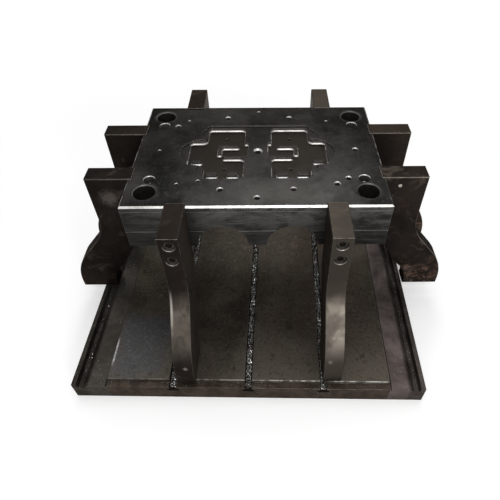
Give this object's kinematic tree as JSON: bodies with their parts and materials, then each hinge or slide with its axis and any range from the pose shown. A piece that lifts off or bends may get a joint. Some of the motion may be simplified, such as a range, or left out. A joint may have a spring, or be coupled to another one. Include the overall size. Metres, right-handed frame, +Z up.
{
  "type": "blow mould",
  "caption": "Steel mould block with a manifold pocket on top and two half-round cavities below, carried by dog-leg legs that stand on a T-slotted table.",
  "frame": {"origin": "middle of the assembly's footprint, at the table's underside", "axes": "+X along the mould block's long side, +Y from the front to the back, +Z up"},
  "size_m": [1.024, 0.8948, 0.444],
  "materials": {
    "block_steel": "milled, oiled",
    "bush_steel": "ground",
    "leg_steel": "reddish-brown scale, worn edges",
    "screw_steel": "oiled",
    "table_iron": "ground, stained",
    "rail_iron": "oily"
  },
  "bodies": {
    "table": {"t_slot_table": "table_iron", "left_gutter_rail": "rail_iron", "left_rail_screws": "screw_steel", "right_gutter_rail": "rail_iron", "right_rail_screws": "screw_steel"},
    "mould": {"mould_block": "block_steel", "leg_set_screw": "screw_steel", "front_left_guide_bush": "bush_steel", "front_right_guide_bush": "bush_steel", "rear_left_guide_bush": "bush_steel", "rear_right_guide_bush": "bush_steel", "front_left_leg": "leg_steel", "front_left_leg_screws": "screw_steel", "front_right_leg": "leg_steel", "front_right_leg_screws": "screw_steel", "rear_left_leg": "leg_steel", "rear_left_leg_screws": "screw_steel", "rear_right_leg": "leg_steel", "rear_right_leg_screws": "screw_steel", "left_front_leg": "leg_steel", "left_front_leg_screws": "screw_steel", "left_rear_leg": "leg_steel", "left_rear_leg_screws": "screw_steel", "right_front_leg": "leg_steel", "right_front_leg_screws": "screw_steel", "right_rear_leg": "leg_steel", "right_rear_leg_screws": "screw_steel"}
  },
  "joints": [
    {"name": "mould_lift", "type": "slide", "parent": "table", "child": "mould", "axis": [0, 0, 1], "range_m": [0, 0.4]}
  ]
}
